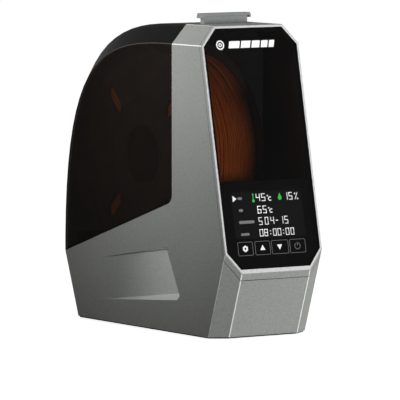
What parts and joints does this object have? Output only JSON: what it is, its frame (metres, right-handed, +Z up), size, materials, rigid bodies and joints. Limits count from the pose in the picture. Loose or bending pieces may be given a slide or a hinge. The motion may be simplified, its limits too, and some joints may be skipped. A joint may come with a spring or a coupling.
{
  "type": "filament dryer box",
  "caption": "Free-standing heated dry box for a filament spool, with a chamfered housing, glazed front panel and smoked lid that hinges open to the rear.",
  "frame": {"origin": "on the ground under the middle of the outline", "axes": "+X across the box to its right as seen from the front, +Y to the rear, +Z up; the front panel faces -Y"},
  "size_m": [0.1054, 0.2909, 0.2901],
  "materials": {
    "silver_paint": "satin, fine metallic flake",
    "bright_trim": "bright cut edge",
    "tinted_glass": "dark tint",
    "smoked_plastic": "clear smoked",
    "black_plastic": "moulded",
    "dark_plastic": "moulded",
    "spool_plastic": "moulded",
    "filament": "wound strand",
    "rubber": "matte",
    "steel": "turned",
    "circuit_board": "solder mask",
    "screen": "smooth",
    "heater_fins": "pressed fins",
    "silicone": "soft, matte"
  },
  "bodies": {
    "housing": {"main_shell": "silver_paint", "front_bezel": "bright_trim", "front_glass": "tinted_glass", "bottom_cover": "black_plastic", "display_tray": "black_plastic", "fan_housing": "black_plastic", "heater_duct": "black_plastic", "outlet_insert": "black_plastic", "power_inlet": "black_plastic", "chamber_floor": "dark_plastic", "roller_bracket_left": "dark_plastic", "roller_bracket_right": "dark_plastic", "humidity_sensor": "dark_plastic", "hinge_leaf_base": "dark_plastic", "foot_front_left": "rubber", "foot_front_right": "rubber", "foot_rear_left": "rubber", "foot_rear_right": "rubber", "lid_seal": "rubber", "bearing_front_left": "steel", "bearing_front_right": "steel", "bearing_rear_left": "steel", "bearing_rear_right": "steel", "hinge_pin": "steel", "cover_screw_front_left": "steel", "cover_screw_front_right": "steel", "cover_screw_rear_left": "steel", "cover_screw_rear_right": "steel", "control_board": "circuit_board", "touch_board": "circuit_board", "power_board": "circuit_board", "display_module": "screen", "heater_core": "heater_fins"},
    "lid": {"lid_shell": "smoked_plastic", "hinge_leaf_lid": "dark_plastic"},
    "spool": {"spool_flange_left": "spool_plastic", "spool_flange_right": "spool_plastic", "spool_core": "spool_plastic", "filament_winding": "filament"},
    "front_roller": {"axle_front": "steel", "roller_front_left": "rubber", "roller_front_right": "rubber"},
    "rear_roller": {"axle_rear": "steel", "roller_rear_left": "rubber", "roller_rear_right": "rubber"},
    "fan": {"fan_impeller": "dark_plastic"},
    "stopper": {"outlet_plug": "silicone"},
    "desiccant": {"desiccant_tray": "dark_plastic", "desiccant_cover": "dark_plastic"}
  },
  "joints": [
    {"name": "lid_hinge", "type": "hinge", "parent": "housing", "child": "lid", "pos_m": [0, 0.1424, 0.0599], "axis": [-1, 0, 0], "range_deg": [0, 90]},
    {"name": "spool_spin", "type": "hinge", "parent": "housing", "child": "spool", "pos_m": [0, 0.023, 0.1569], "axis": [1, 0, 0], "continuous": true},
    {"name": "front_roller_spin", "type": "hinge", "parent": "housing", "child": "front_roller", "pos_m": [0, -0.03265, 0.06051], "axis": [1, 0, 0], "continuous": true},
    {"name": "rear_roller_spin", "type": "hinge", "parent": "housing", "child": "rear_roller", "pos_m": [0, 0.07865, 0.06051], "axis": [1, 0, 0], "continuous": true},
    {"name": "fan_spin", "type": "hinge", "parent": "housing", "child": "fan", "pos_m": [0, 0.023, 0.0155], "axis": [0, 0, 1], "continuous": true},
    {"name": "stopper_pull", "type": "slide", "parent": "housing", "child": "stopper", "axis": [0, 0, 1], "range_m": [0, 0.02]},
    {"name": "desiccant_lift", "type": "slide", "parent": "housing", "child": "desiccant", "axis": [0, 0, 1], "range_m": [0, 0.03]}
  ],
  "couplings": [
    {"joint": "front_roller_spin", "follows": "spool_spin", "ratio": -9.0909},
    {"joint": "rear_roller_spin", "follows": "spool_spin", "ratio": -9.0909}
  ]
}
